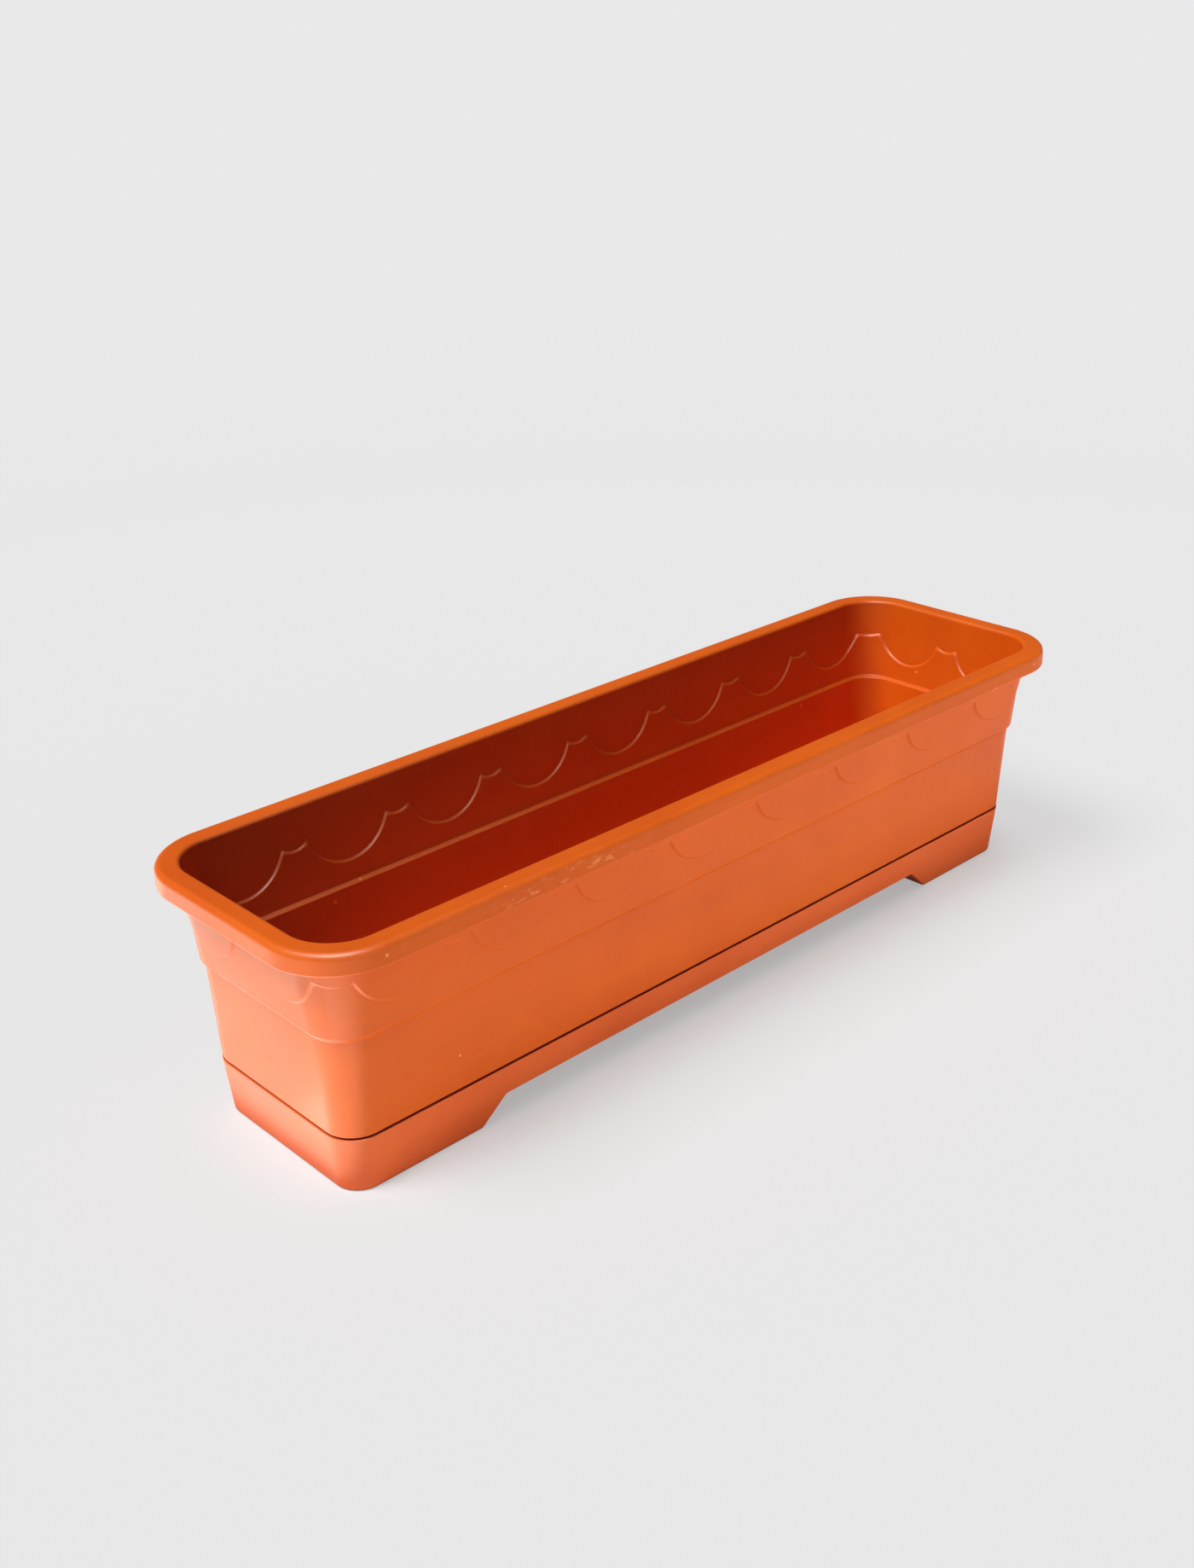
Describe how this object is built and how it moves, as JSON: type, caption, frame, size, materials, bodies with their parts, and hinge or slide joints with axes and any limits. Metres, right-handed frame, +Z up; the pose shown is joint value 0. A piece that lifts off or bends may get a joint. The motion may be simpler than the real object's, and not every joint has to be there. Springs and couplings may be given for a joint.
{
  "type": "window box planter",
  "caption": "Long rectangular window box of moulded plastic: a tapering trough with a rolled rim and scalloped band, standing in a drip tray on two end feet.",
  "frame": {"origin": "middle of the base, on the surface that the tray's end feet stand on", "axes": "+X along the box, +Y across it, +Z up"},
  "size_m": [0.6, 0.169, 0.15],
  "materials": {
    "trough_plastic": "terracotta-orange polypropylene, satin outside and inside, faintly mottled",
    "tray_plastic": "terracotta-orange polypropylene, satin, very slightly redder than the trough"
  },
  "bodies": {
    "tray": {"drip_tray": "tray_plastic"},
    "trough": {"planter_trough": "trough_plastic"}
  },
  "joints": [
    {"name": "trough_lift", "type": "slide", "parent": "tray", "child": "trough", "axis": [0, 0, 1], "range_m": [0, 0.08]}
  ]
}
